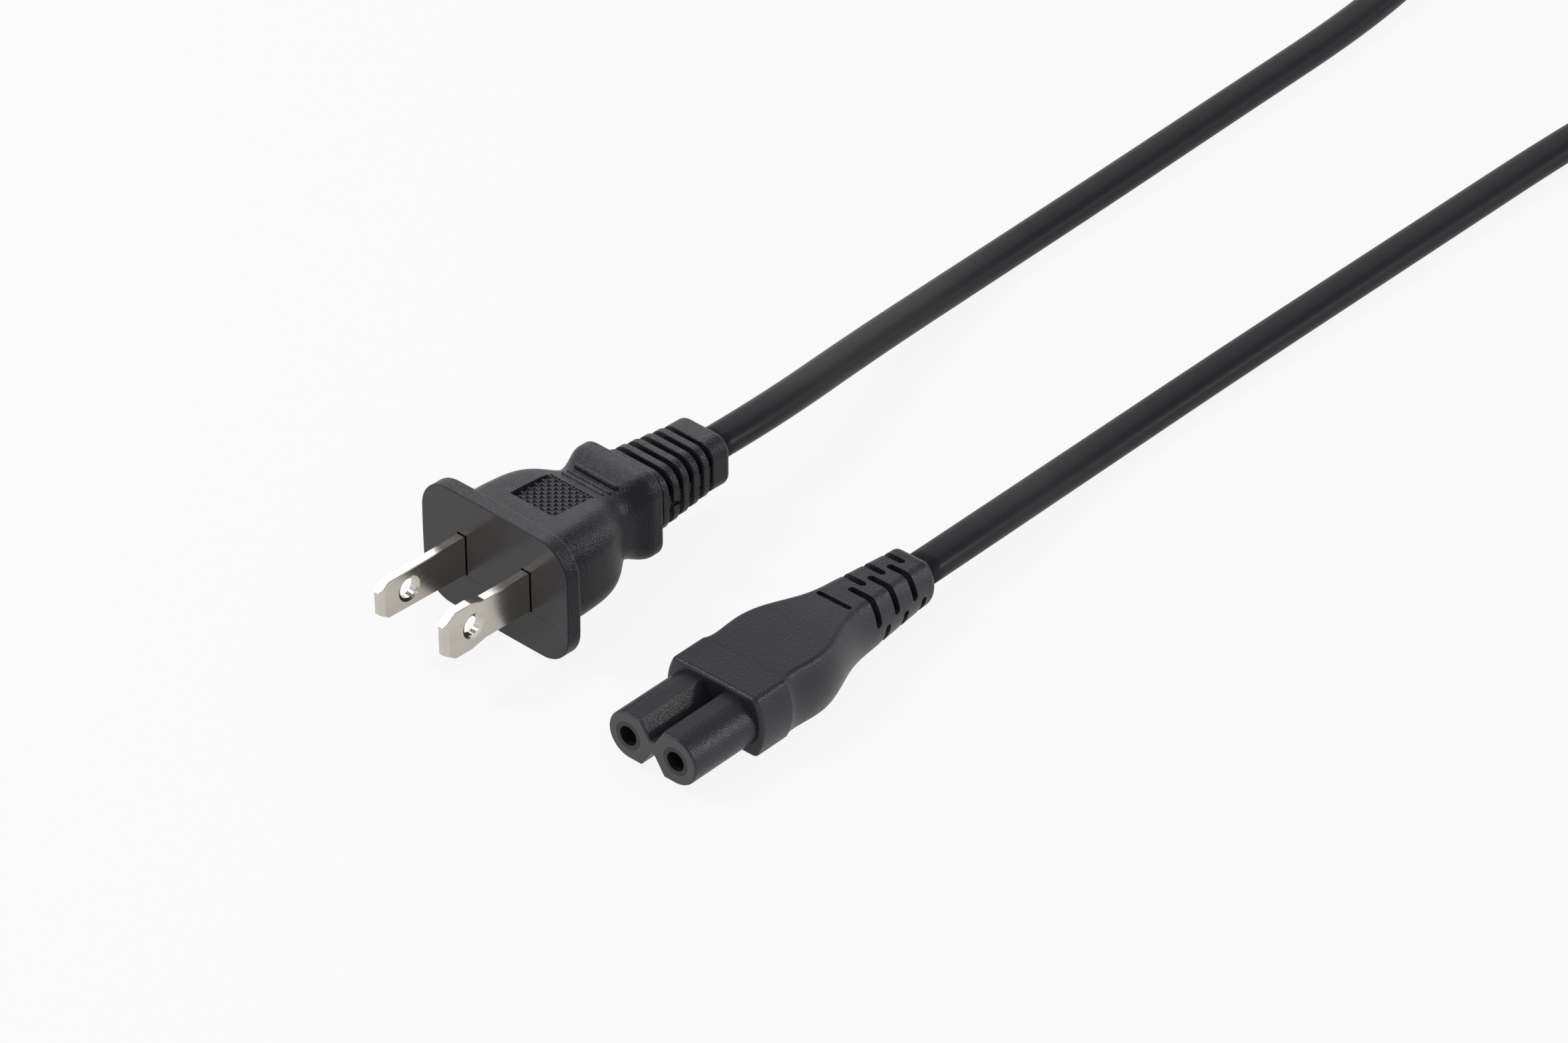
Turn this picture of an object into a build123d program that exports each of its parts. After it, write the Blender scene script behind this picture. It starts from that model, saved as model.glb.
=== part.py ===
"""Two-prong mains plug, moulded on a flat two-core lead that ends in a figure-eight connector.

The origin is the centre of the plug's front face. +X points out of that face along the prongs,
+Y runs from the narrow prong to the wide one, and +Z is up. The lead lies on the surface that
the plug rests on. All sizes are in millimetres.
"""
from build123d import *
from math import cos, pi, radians, sin, tan
import os

# Prongs
PRONG_SPACING = 12.7
PRONG_THICKNESS = 1.5
PRONG_LENGTH = 16.3
NARROW_WIDTH = 6.35
WIDE_WIDTH = 7.6
PRONG_HOLE_X = 10.8
PRONG_HOLE_RADIUS = 1.55
COUNTERSINK = 0.45
COUNTERSINK_DEPTH = 0.25
LEAD_IN_LENGTH = 0.9
LEAD_IN_DEPTH = 0.38
PRONG_EDGE = 0.12
TANG_Y = 4.4
TANG_WIDTH = 3.4
ROOT_END_X = -6.5
CRIMP_FRONT_X = -11.5
CRIMP_LENGTH = 5.0
CRIMP_RADIUS = 1.45

# Plug moulding
FLANGE_HALF_WIDTH = 14.4
FLANGE_HALF_HEIGHT = 9.9
FLANGE_BOW = 0.25
FLANGE_CORNER = 5.2
FLANGE_THICKNESS = 2.7
PRONG_GAP = 0.2
PRONG_GAP_DEPTH = 0.5
# Each section across the shoulder and the collar: x, half width, half height and corner radius
SHOULDER_SECTIONS = (
    (-7.0, 11.2, 7.5, 4.4),
    (-9.6, 11.07, 7.43, 4.4),
    (-12.0, 10.75, 7.3, 4.3),
    (-14.4, 9.95, 7.0, 4.2),
    (-16.6, 8.5, 6.35, 3.9),
    (-18.6, 7.25, 5.8, 3.6),
)
COLLAR_SECTIONS = (
    (-18.6, 7.25, 5.8, 3.6),
    (-20.2, 7.2, 6.0, 3.5),
    (-21.4, 7.4, 6.5, 3.4),
    (-22.6, 7.8, 6.92, 3.3),
    (-23.8, 8.02, 7.02, 3.2),
)
SHOULDER_FOOT_ROUND = 0.6
COLLAR_END_X = -25.3
COLLAR_REAR_ROUND = 0.5
GRIP_X = -11.45
GRIP_LENGTH = 7.9
GRIP_WIDTH = 8.6
GRIP_FLOOR = 6.5
GRIP_PITCH = 0.98
GRIP_HEIGHT = 0.45
RIB_XZ = ((-17.4, 5.95), (-18.65, 5.62), (-20.05, 5.95))
RIB_LENGTHS = (8.4, 8.6, 8.6)
RIB_RADII = (0.38, 0.42, 0.48)

# Strain relief behind the plug
RING_COUNT = 5
RING_FRONT_X = -26.85
RING_PITCH = 2.27
RING_THICKNESS = 1.28
RING_EDGE = 0.22
RING_FIRST = (6.4, 4.9, 3.1)
RING_LAST = (5.4, 4.4, 2.8)
RELIEF_CAP_FRONT_X = -38.1
RELIEF_END_X = -41.8
RELIEF_CAP = (5.15, 4.25, 2.6)
CORE_FRONT = (5.0, 3.7, 2.2)
CORE_REAR = (3.9, 3.1, 1.8)
WEB_HEIGHT = 2.0
WEB_RECESS = 0.35
GATE_SCAR = (1.5, 0.85, 0.45)
GATE_SCAR_Z = -0.35

# Bridge that carries the prongs inside the moulding
BRIDGE_FRONT_X = -2.6
BRIDGE_REAR_X = -10.5
BRIDGE_HALF_WIDTH = 8.8
BRIDGE_HALF_HEIGHT = 4.8

# Flat lead
CORD_WIDTH = 6.0
CORD_THICKNESS = 3.7
CORE_RADIUS = 1.15
STRAND_RADIUS = 0.75
CORE_SPACING = 2.5
FLOOR_Z = -FLANGE_HALF_HEIGHT
LYING_Z = FLOOR_Z + CORD_THICKNESS / 2

# Connector, whose nose face stands at this place and points along +X, turned a little to +Y
NOSE_X = 9.2
NOSE_Y = 39.5
CONNECTOR_YAW = 1.9
BODY_HALF_HEIGHT = 4.9
CONNECTOR_Z = FLOOR_Z + BODY_HALF_HEIGHT
PIN_SPACING = 8.6
LOBE_RADIUS = 3.75
LOBE_REACH = 3.6
NOSE_LENGTH = 12.3
NOSE_FLAT_HALF = 2.1
GROOVE_BOTTOM_HALF = 0.35
GROOVE_BOTTOM_Z = 1.1
NOSE_EDGE = 0.35
# Each section along the connector: x from the nose face, half width of the flat top,
# half width at the middle of the bulged side, half height and corner radius
BODY_SECTIONS = (
    (-18.5, 7.45, 8.8, 4.9, 0.9),
    (-25.5, 7.25, 8.6, 4.9, 0.95),
    (-30.0, 6.3, 7.75, 4.88, 1.0),
    (-34.0, 4.65, 6.25, 4.78, 1.1),
    (-37.4, 3.75, 5.35, 4.6, 1.15),
    (-40.7, 3.4, 5.1, 4.45, 1.2),
)
RELIEF_SECTIONS = (
    (-40.7, 3.4, 5.1, 4.45, 1.2),
    (-52.0, 2.65, 4.35, 3.75, 1.4),
)
CONNECTOR_END_X = -54.0
SHOULDER_ROUND = 0.65
CAP_ROUND = 1.2
SLOT_PITCH = 4.1
SLOT_WIDTH = 1.15
RIGHT_SLOT_X = -40.2
LEFT_SLOT_X = -42.3
SLOT_CORE = (3.0, 2.7)
SLOT_LAP = 0.6
SLOT_WEB_HALF = 0.3
NECK_SLOT_X = -37.0
NECK_SLOT_LENGTH = 6.2
NECK_SLOT_WIDTH = 0.9
NECK_SLOT_FLOOR = 3.75

# Contacts and their carrier inside the connector
CARRIER_TUBE_RADIUS = 2.2
PIN_HOLE_RADIUS = 1.5
PIN_HOLE_DEPTH = 2.5
SOCKET_RADIUS = 1.75
SOCKET_BORE_RADIUS = 1.2
SOCKET_END_X = -16.0
SOCKET_SLIT = 0.4
CARRIER_BLOCK_FRONT_X = -13.0
CARRIER_BLOCK_REAR_X = -21.0
CARRIER_BLOCK_HALF = (7.2, 3.0)

# Coil of the spare lead, wound inwards on the floor and outwards on top of that
COIL_X = -292.0
COIL_Y = 5.0
COIL_OUTER_RADIUS = 38.2
COIL_INNER_RADIUS = 21.8
COIL_ROUND = 1.4
COIL_ENTRY_ANGLE = 12.0
COIL_EXIT_ANGLE = 10.0
STUB_LENGTH = 24.0
TIE_THICKNESS = 0.8
TIE_WIDTH = 9.0
TIE_ANGLE = 150.0

os.makedirs("parts", exist_ok=True)


def save(piece, name):
    """Label a finished piece and write it to its own file."""
    piece.part.label = name
    export_step(piece.part, "parts/" + name + ".step")


def section_across(x, half_width, half_height, corner):
    """A rounded rectangle across the plug's axis."""
    with BuildSketch(Plane.YZ.offset(x)) as outline:
        RectangleRounded(2 * half_width, 2 * half_height, corner)
    return outline.sketch


def between(first, last, share):
    """The sizes that stand a given share of the way from the first to the last."""
    return tuple(a + (b - a) * share for a, b in zip(first, last))


# Leads inside the two mouldings

def inner_lead(jacket_ends, fan_points, strand_end_x, face):
    """The jacket, the two cores and the two bundles of strands of one end of the lead.

    face is the plane of the moulding's front, looking forwards. jacket_ends are the places of
    the jacket's rear and front along it. fan_points are the points (forwards, across) that the
    core on the +y side follows from the jacket's rear to its contact.
    """
    rear, front = jacket_ends
    cores = []
    strands = []
    for side in (-1, 1):
        points = [(rear, CORE_SPACING / 2)] + fan_points
        path_points = [tuple(face.from_local_coords(Vector(side * y, 0, x))) for x, y in points]
        bend_radii = corner_radii(path_points)
        with BuildPart() as bundle:
            with BuildLine():
                FilletPolyline(*path_points, radius=bend_radii)
            with BuildSketch(Plane(origin=path_points[0], x_dir=face.x_dir, z_dir=face.z_dir)):
                Circle(STRAND_RADIUS)
            sweep()
            with BuildSketch(Plane(origin=path_points[-1], x_dir=face.x_dir, z_dir=face.z_dir)):
                Circle(STRAND_RADIUS)
            extrude(amount=strand_end_x - points[-1][0])
        with BuildPart() as core:
            with BuildLine():
                FilletPolyline(*path_points, radius=bend_radii)
            with BuildSketch(Plane(origin=path_points[0], x_dir=face.x_dir, z_dir=face.z_dir)):
                Circle(CORE_RADIUS)
            sweep()
            add(bundle.part, mode=Mode.SUBTRACT)
        cores.append(core)
        strands.append(bundle)
    with BuildPart() as jacket:
        with BuildSketch(face.offset(rear)):
            SlotOverall(CORD_WIDTH, CORD_THICKNESS)
        extrude(amount=front - rear)
        for piece in cores + strands:
            add(piece.part, mode=Mode.SUBTRACT)
    return jacket, cores, strands


def corner_radii(points):
    """The largest arc at each corner of a route that its two runs leave room for."""
    corners = [Vector(*p) for p in points]
    found = []
    for before, here, after in zip(corners, corners[1:], corners[2:]):
        turn = radians((here - before).get_angle(after - here))
        shorter = min((here - before).length, (after - here).length)
        found.append(0.45 * shorter / tan(turn / 2))
    return found


# Prongs, each stamped from strip with a joggled tang and a crimp barrel

def prong_outline(width_root, width_tip, chamfer_length, flare_x):
    """The half outline (x, z) of a blade seen from its side, root first."""
    chamfer_start = PRONG_LENGTH - chamfer_length
    points = [(ROOT_END_X, width_root / 2)]
    if flare_x is None:
        points += [(1.0, width_root / 2)]
    else:
        points += [(flare_x[0], width_root / 2), (flare_x[1], width_tip / 2)]
    points += [(chamfer_start, width_tip / 2)]
    points += [(PRONG_LENGTH, width_tip / 2 - 0.7 * chamfer_length)]
    return points


def make_prong(side, width_root, width_tip, chamfer_length, flare_x=None):
    """One prong with its hole, its tang and the barrel that is crimped on the strands."""
    y = side * PRONG_SPACING / 2
    upper = prong_outline(width_root, width_tip, chamfer_length, flare_x)
    lower = [(x, -z) for x, z in reversed(upper)]
    half = PRONG_THICKNESS / 2
    with BuildPart() as prong:
        with BuildSketch(Plane.XZ.offset(-y)) as blade:
            with BuildLine():
                Polyline(*upper, *lower, close=True)
            make_face()
            if flare_x is not None:
                fillet(blade.vertices().filter_by_position(Axis.X, flare_x[0] - 0.1, flare_x[1] + 0.1), 2.0)
        extrude(amount=half, both=True)
        rims = prong.faces().filter_by(Axis.Y).edges().filter_by_position(Axis.X, 0, PRONG_LENGTH)
        chamfer(rims, PRONG_EDGE)
        for face in (-1, 1):
            with BuildSketch(Plane.XY) as lead_in:
                with BuildLine():
                    Polyline(
                        (PRONG_LENGTH - LEAD_IN_LENGTH, y + face * half),
                        (PRONG_LENGTH, y + face * (half - LEAD_IN_DEPTH)),
                        (PRONG_LENGTH, y + face * half),
                        close=True,
                    )
                make_face()
            extrude(amount=width_tip, both=True, mode=Mode.SUBTRACT)
        with BuildSketch(Plane.XY):
            with BuildLine():
                Polyline(
                    (PRONG_HOLE_X, y - half),
                    (PRONG_HOLE_X + PRONG_HOLE_RADIUS + COUNTERSINK, y - half),
                    (PRONG_HOLE_X + PRONG_HOLE_RADIUS, y - half + COUNTERSINK_DEPTH),
                    (PRONG_HOLE_X + PRONG_HOLE_RADIUS, y + half - COUNTERSINK_DEPTH),
                    (PRONG_HOLE_X + PRONG_HOLE_RADIUS + COUNTERSINK, y + half),
                    (PRONG_HOLE_X, y + half),
                    close=True,
                )
            make_face()
        revolve(axis=Axis((PRONG_HOLE_X, y, 0), (0, 1, 0)), mode=Mode.SUBTRACT)
        # The tang steps inwards behind the blade, so that the lead fans out less
        with BuildSketch(Plane.XY):
            with BuildLine():
                Polyline(
                    (ROOT_END_X + 0.4, y - half),
                    (ROOT_END_X + 0.4, y + half),
                    (ROOT_END_X - 1.0, y + half),
                    (ROOT_END_X - 3.2, side * TANG_Y + half),
                    (CRIMP_FRONT_X - 0.8, side * TANG_Y + half),
                    (CRIMP_FRONT_X - 0.8, side * TANG_Y - half),
                    (ROOT_END_X - 3.2, side * TANG_Y - half),
                    (ROOT_END_X - 1.0, y - half),
                    close=True,
                )
            make_face()
        extrude(amount=TANG_WIDTH / 2, both=True)
        with BuildSketch(Plane.YZ.offset(CRIMP_FRONT_X)):
            with Locations((side * TANG_Y, 0)):
                Circle(CRIMP_RADIUS)
        extrude(amount=-CRIMP_LENGTH)
        with BuildSketch(Plane.YZ.offset(CRIMP_FRONT_X - 0.8)):
            with Locations((side * TANG_Y, 0)):
                Circle(STRAND_RADIUS)
        extrude(amount=-CRIMP_LENGTH, mode=Mode.SUBTRACT)
    return prong


narrow_prong = make_prong(-1, NARROW_WIDTH, NARROW_WIDTH * 0.93, 1.6)
wide_prong = make_prong(1, NARROW_WIDTH, WIDE_WIDTH, 2.1, flare_x=(8.6, 11.2))
save(narrow_prong, "narrow_prong")
save(wide_prong, "wide_prong")

# Bridge moulded round the roots of both prongs
with BuildPart() as prong_bridge:
    with BuildSketch(Plane.YZ.offset(BRIDGE_REAR_X)):
        RectangleRounded(2 * BRIDGE_HALF_WIDTH, 2 * BRIDGE_HALF_HEIGHT, 1.2)
    extrude(amount=BRIDGE_FRONT_X - BRIDGE_REAR_X)
    # A waist lets the outer moulding grip the bridge
    with BuildSketch(Plane.YZ.offset(-8.2)):
        Rectangle(2 * BRIDGE_HALF_WIDTH, 2 * BRIDGE_HALF_HEIGHT)
        RectangleRounded(2 * BRIDGE_HALF_WIDTH - 1.6, 2 * BRIDGE_HALF_HEIGHT - 1.6, 0.8, mode=Mode.SUBTRACT)
    extrude(amount=2.2, mode=Mode.SUBTRACT)
    for prong in (narrow_prong, wide_prong):
        add(prong.part, mode=Mode.SUBTRACT)
save(prong_bridge, "prong_bridge")

# End of the lead inside the plug
plug_jacket, plug_cores, plug_strands = inner_lead(
    jacket_ends=(RELIEF_END_X, -27.0),
    fan_points=[(-23.5, CORE_SPACING / 2), (-19.6, TANG_Y), (CRIMP_FRONT_X - CRIMP_LENGTH, TANG_Y)],
    strand_end_x=CRIMP_FRONT_X - 0.8,
    face=Plane.YZ,
)
save(plug_jacket, "plug_jacket_end")
for name, core, bundle in zip(("narrow", "wide"), plug_cores, plug_strands):
    save(core, "plug_core_" + name)
    save(bundle, "plug_strands_" + name)
plug_lead = [plug_jacket] + plug_cores + plug_strands

# Plug moulding: flange, shoulder, finger collar and strain relief in one piece
shoulder = [section_across(*sizes) for sizes in SHOULDER_SECTIONS]
collar = [section_across(*sizes) for sizes in COLLAR_SECTIONS]
ring_shares = [k / (RING_COUNT - 1) for k in range(RING_COUNT)]
ring_places = [RING_FRONT_X - RING_PITCH * k for k in range(RING_COUNT)]
rings = [
    section_across(x, *between(RING_FIRST, RING_LAST, share)) for x, share in zip(ring_places, ring_shares)
]
ribs = []
for (x, z), length, radius in zip(RIB_XZ, RIB_LENGTHS, RIB_RADII):
    for up in (-1, 1):
        with BuildPart() as rib:
            with BuildSketch(Plane(origin=(x, 0, up * z), x_dir=(1, 0, 0), z_dir=(0, 1, 0))):
                Circle(radius)
            extrude(amount=length / 2, both=True)
            fillet(rib.faces().filter_by(Axis.Y).edges(), 0.8 * radius)
        ribs.append(rib)
relief_core = [section_across(COLLAR_END_X + 1.0, *CORE_FRONT), section_across(RELIEF_END_X + 1.0, *CORE_REAR)]
cap_section = section_across(RELIEF_CAP_FRONT_X, *RELIEF_CAP)


def comb_of_grooves(direction):
    """Parallel V grooves at an angle to the axis, clipped to the grip: what the knurl leaves out."""
    reach = 0.5 * (GRIP_LENGTH + GRIP_WIDTH) * sin(radians(45)) + GRIP_PITCH
    turned = radians(direction)
    plane = Plane(
        origin=(GRIP_X, 0, GRIP_FLOOR),
        x_dir=(cos(turned), sin(turned), 0),
        z_dir=(sin(turned), -cos(turned), 0),
    )
    count = 2 * int(reach / GRIP_PITCH)
    start = -count * GRIP_PITCH / 2
    points = [(start, 0.0)]
    for k in range(count):
        points.append((start + (k + 0.5) * GRIP_PITCH, GRIP_HEIGHT))
        points.append((start + (k + 1) * GRIP_PITCH, 0.0))
    points += [(start + count * GRIP_PITCH, 1.6), (start, 1.6)]
    with BuildPart() as comb:
        with BuildSketch(plane):
            with BuildLine():
                Polyline(*points, close=True)
            make_face()
        extrude(amount=reach, both=True)
        with Locations((GRIP_X, 0, GRIP_FLOOR)):
            Box(GRIP_LENGTH, GRIP_WIDTH, 6, mode=Mode.INTERSECT)
    return comb.part


with BuildPart() as plug_body:
    w, h = FLANGE_HALF_WIDTH, FLANGE_HALF_HEIGHT
    with BuildSketch(Plane.YZ) as face:
        with BuildLine():
            ThreePointArc((-w + FLANGE_BOW, h - FLANGE_BOW), (0, h), (w - FLANGE_BOW, h - FLANGE_BOW))
            ThreePointArc((w - FLANGE_BOW, h - FLANGE_BOW), (w, 0), (w - FLANGE_BOW, -h + FLANGE_BOW))
            ThreePointArc((w - FLANGE_BOW, -h + FLANGE_BOW), (0, -h), (-w + FLANGE_BOW, -h + FLANGE_BOW))
            ThreePointArc((-w + FLANGE_BOW, -h + FLANGE_BOW), (-w, 0), (-w + FLANGE_BOW, h - FLANGE_BOW))
        make_face()
        fillet(face.vertices(), FLANGE_CORNER)
    extrude(amount=-FLANGE_THICKNESS)
    fillet(plug_body.faces().sort_by(Axis.X)[0].edges(), 0.5)
    fillet(plug_body.faces().sort_by(Axis.X)[-1].edges(), 0.2)
    extrude(to_extrude=shoulder[0], amount=-FLANGE_THICKNESS / 2 - SHOULDER_SECTIONS[0][0], dir=(1, 0, 0))
    foot = plug_body.edges().filter_by_position(Axis.X, -FLANGE_THICKNESS - 0.01, -FLANGE_THICKNESS + 0.01)
    inner_foot = foot.filter_by_position(Axis.Y, -11.3, 11.3).filter_by_position(Axis.Z, -7.6, 7.6)
    fillet(inner_foot, SHOULDER_FOOT_ROUND)
    loft(sections=shoulder)
    loft(sections=collar)
    extrude(to_extrude=collar[-1], amount=COLLAR_END_X - COLLAR_SECTIONS[-1][0], dir=(1, 0, 0))
    fillet(plug_body.faces().sort_by(Axis.X)[0].edges(), COLLAR_REAR_ROUND)
    loft(sections=relief_core)

for section in rings:
    with BuildPart() as ring:
        extrude(to_extrude=section, amount=-RING_THICKNESS, dir=(1, 0, 0))
        fillet(ring.faces().filter_by(Axis.X).edges(), RING_EDGE)
    with plug_body:
        add(ring.part)
with BuildPart() as cap:
    extrude(to_extrude=cap_section, amount=RELIEF_END_X - RELIEF_CAP_FRONT_X, dir=(1, 0, 0))
    fillet(cap.faces().sort_by(Axis.X)[-1].edges(), RING_EDGE)
    fillet(cap.faces().sort_by(Axis.X)[0].edges(), 0.9)

with plug_body:
    add(cap.part)
    # Webs bridge the grooves at mid height on both flanks
    for k in range(RING_COUNT + 1):
        share = k / RING_COUNT
        width = between(RING_FIRST, RELIEF_CAP, share)[0] - WEB_RECESS
        with Locations((RING_FRONT_X - RING_PITCH * (k - 0.5) - RING_THICKNESS / 2, 0, 0)):
            Box(RING_PITCH, 2 * width, WEB_HEIGHT)
    # Finger ribs across the waist, above and below
    for rib in ribs:
        add(rib.part)
    # Scar that the gate of the mould leaves on the second ring
    scar_x = RING_FRONT_X - RING_PITCH - RING_THICKNESS / 2
    scar_y = between(RING_FIRST, RING_LAST, 0.25)[0] - GATE_SCAR[2]
    with BuildSketch(Plane(origin=(scar_x, scar_y, GATE_SCAR_Z), x_dir=(-1, 0, 0), z_dir=(0, 1, 0))):
        SlotOverall(GATE_SCAR[0], GATE_SCAR[1])
    extrude(amount=2.0, mode=Mode.SUBTRACT)
    # Recessed grips above and below
    for direction in (-45, 45):
        comb = comb_of_grooves(direction)
        add(comb, mode=Mode.SUBTRACT)
        add(mirror(comb, about=Plane.XY, mode=Mode.PRIVATE), mode=Mode.SUBTRACT)
    # Narrow gap round each prong where it leaves the face
    for side in (-1, 1):
        with Locations((-PRONG_GAP_DEPTH / 2, side * PRONG_SPACING / 2, 0)):
            Box(PRONG_GAP_DEPTH, PRONG_THICKNESS + 2 * PRONG_GAP, NARROW_WIDTH + 2 * PRONG_GAP, mode=Mode.SUBTRACT)
    for piece in [narrow_prong, wide_prong, prong_bridge] + plug_lead:
        add(piece.part, mode=Mode.SUBTRACT)
save(plug_body, "plug_body")

# Connector: sockets, their carrier and the end of the lead inside it. Its pieces are drawn from
# the plane of its nose: the sketch's x runs across, its y up and the normal forwards.
yaw = radians(CONNECTOR_YAW)
forwards = (cos(yaw), sin(yaw), 0)
across = (-sin(yaw), cos(yaw), 0)
NOSE = Plane(origin=(NOSE_X, NOSE_Y, CONNECTOR_Z), x_dir=across, z_dir=forwards)
connector_jacket, connector_cores, connector_strands = inner_lead(
    jacket_ends=(CONNECTOR_END_X, -34.0),
    fan_points=[(-30.8, CORE_SPACING / 2), (-26.6, PIN_SPACING / 2), (-23.0, PIN_SPACING / 2)],
    strand_end_x=-18.0,
    face=NOSE,
)
save(connector_jacket, "connector_jacket_end")
socket_contacts = []
for name, side, core, bundle in zip(("left", "right"), (-1, 1), connector_cores, connector_strands):
    save(core, "connector_core_" + name)
    save(bundle, "connector_strands_" + name)
    with BuildPart() as contact:
        with BuildSketch(NOSE.offset(-PIN_HOLE_DEPTH)):
            with Locations((side * PIN_SPACING / 2, 0)):
                Circle(SOCKET_RADIUS)
        extrude(amount=SOCKET_END_X + PIN_HOLE_DEPTH - 6.5)
        with BuildSketch(NOSE.offset(-PIN_HOLE_DEPTH)):
            with Locations((side * PIN_SPACING / 2, 0)):
                Circle(SOCKET_BORE_RADIUS)
        extrude(amount=SOCKET_END_X + PIN_HOLE_DEPTH, mode=Mode.SUBTRACT)
        # A slit lets the sleeve spring open round the pin
        with BuildSketch(NOSE.offset(-PIN_HOLE_DEPTH)):
            with Locations((side * PIN_SPACING / 2, SOCKET_RADIUS)):
                Rectangle(SOCKET_SLIT, 2 * (SOCKET_RADIUS - SOCKET_BORE_RADIUS) + 0.6)
        extrude(amount=-10.0, mode=Mode.SUBTRACT)
        add(bundle.part, mode=Mode.SUBTRACT)
    save(contact, "socket_contact_" + name)
    socket_contacts.append(contact)

with BuildPart() as contact_carrier:
    with BuildSketch(NOSE):
        with GridLocations(PIN_SPACING, 1, 2, 1):
            Circle(CARRIER_TUBE_RADIUS)
    extrude(amount=CARRIER_BLOCK_FRONT_X)
    with BuildSketch(NOSE.offset(CARRIER_BLOCK_FRONT_X)):
        RectangleRounded(2 * CARRIER_BLOCK_HALF[0], 2 * CARRIER_BLOCK_HALF[1], 1.0)
    extrude(amount=CARRIER_BLOCK_REAR_X - CARRIER_BLOCK_FRONT_X)
    with BuildSketch(NOSE):
        with GridLocations(PIN_SPACING, 1, 2, 1):
            Circle(PIN_HOLE_RADIUS)
    extrude(amount=-PIN_HOLE_DEPTH, mode=Mode.SUBTRACT)
    # The sleeve's own room, with its slit, its bore and the strands that end in it
    with BuildSketch(NOSE.offset(-PIN_HOLE_DEPTH)):
        with GridLocations(PIN_SPACING, 1, 2, 1):
            Circle(SOCKET_RADIUS)
    extrude(amount=CARRIER_BLOCK_REAR_X + PIN_HOLE_DEPTH, mode=Mode.SUBTRACT)
save(contact_carrier, "contact_carrier")


def bulged_section(x, flat_half, middle_half, half_height, corner):
    """A section with a flat top and bottom, bulged flanks and small round corners."""
    with BuildSketch(NOSE.offset(x)) as outline:
        with BuildLine():
            Line((-flat_half, half_height), (flat_half, half_height))
            ThreePointArc((flat_half, half_height), (middle_half, 0), (flat_half, -half_height))
            Line((flat_half, -half_height), (-flat_half, -half_height))
            ThreePointArc((-flat_half, -half_height), (-middle_half, 0), (-flat_half, half_height))
        make_face()
        fillet(outline.vertices(), corner)
    return outline.sketch


def half_lobe_points(side):
    """The corners of the nose's outline on one side, from the groove above to the one below."""
    centre = side * PIN_SPACING / 2
    return {
        "top_inner": (side * GROOVE_BOTTOM_HALF, GROOVE_BOTTOM_Z),
        "top_edge": (side * NOSE_FLAT_HALF, LOBE_RADIUS),
        "arc_start": (centre, LOBE_RADIUS),
        "arc_middle": (centre + side * LOBE_REACH, 0),
        "arc_end": (centre, -LOBE_RADIUS),
        "low_edge": (side * NOSE_FLAT_HALF, -LOBE_RADIUS),
        "low_inner": (side * GROOVE_BOTTOM_HALF, -GROOVE_BOTTOM_Z),
    }


body_lofts = [bulged_section(*sizes) for sizes in BODY_SECTIONS]
relief_lofts = [bulged_section(*sizes) for sizes in RELIEF_SECTIONS]
right, left = half_lobe_points(1), half_lobe_points(-1)

with BuildPart() as nose:
    with BuildSketch(NOSE):
        with BuildLine() as outline:
            Polyline(left["top_inner"], right["top_inner"], right["top_edge"], right["arc_start"])
            ThreePointArc(right["arc_start"], right["arc_middle"], right["arc_end"])
            Polyline(right["arc_end"], right["low_edge"], right["low_inner"], left["low_inner"],
                     left["low_edge"], left["arc_end"])
            ThreePointArc(left["arc_end"], left["arc_middle"], left["arc_start"])
            Polyline(left["arc_start"], left["top_edge"], left["top_inner"])
        make_face()
    extrude(amount=-NOSE_LENGTH - 1.0)
    fillet(nose.faces().sort_by(Axis.X)[-1].edges(), NOSE_EDGE)

with BuildPart() as relief_end:
    extrude(to_extrude=relief_lofts[-1], amount=RELIEF_SECTIONS[-1][0] - CONNECTOR_END_X, dir=tuple(-v for v in forwards))
    fillet(relief_end.faces().sort_by(Axis.X)[0].edges(), CAP_ROUND)

with BuildPart() as connector_body:
    extrude(to_extrude=body_lofts[0], amount=-NOSE_LENGTH - BODY_SECTIONS[0][0], dir=forwards)
    fillet(connector_body.faces().sort_by(Axis.X)[-1].edges(), SHOULDER_ROUND)
    loft(sections=body_lofts)
    loft(sections=relief_lofts)
    add(relief_end.part)
    add(nose.part)


def relief_slots(side, up):
    """The slots of one quarter of the strain relief, which wrap it from the top to mid height."""
    first_x = (RIGHT_SLOT_X if side * up > 0 else LEFT_SLOT_X) - SLOT_WIDTH / 2
    places = [first_x - SLOT_PITCH * k for k in range(3)]
    reach = 12.0
    centre = reach / 2
    with BuildPart() as cuts:
        with BuildSketch(Plane(origin=NOSE.origin, x_dir=forwards, z_dir=(0, 0, 1)).offset(up * SLOT_CORE[1])):
            with Locations(*[(x, side * (centre - SLOT_LAP)) for x in places]):
                SlotOverall(reach, SLOT_WIDTH, rotation=90)
        extrude(amount=up * 4.0)
        flank = Plane(origin=NOSE.origin, x_dir=forwards, z_dir=tuple(-v for v in across))
        with BuildSketch(flank.offset(-side * SLOT_CORE[0])):
            with Locations(*[(x, up * (centre + SLOT_WEB_HALF)) for x in places]):
                SlotOverall(reach, SLOT_WIDTH, rotation=90)
        extrude(amount=-side * 4.0)
    return cuts


quarters = [relief_slots(side, up) for side in (-1, 1) for up in (-1, 1)]

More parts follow.
